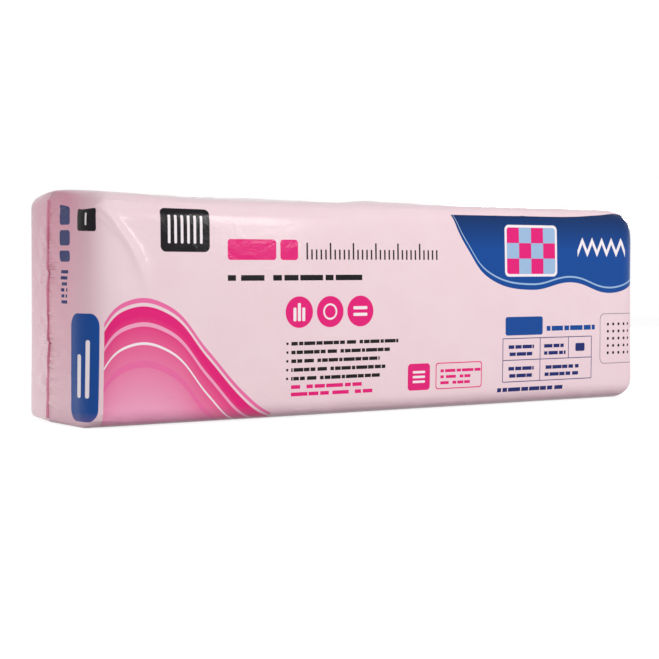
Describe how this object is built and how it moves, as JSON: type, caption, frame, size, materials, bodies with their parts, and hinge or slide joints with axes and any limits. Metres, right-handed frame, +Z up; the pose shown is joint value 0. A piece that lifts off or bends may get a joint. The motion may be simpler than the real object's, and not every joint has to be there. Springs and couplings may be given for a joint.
{
  "type": "bag of compressed fiberglass batts",
  "caption": "Film bag of squeezed fiberglass insulation batts, a soft-edged oblong block with a sealed fin down each end, for filling wall cavities.",
  "frame": {"origin": "middle of the flat underside, on the floor", "axes": "+X along the batts, +Y through the stack, away from the printed front, and +Z up"},
  "size_m": [1.2362, 0.315, 0.3892],
  "materials": {
    "printed_film": "gloss",
    "glass_wool": "matte"
  },
  "bodies": {
    "root": {"film_bag": "printed_film", "batts": "glass_wool"}
  },
  "joints": []
}
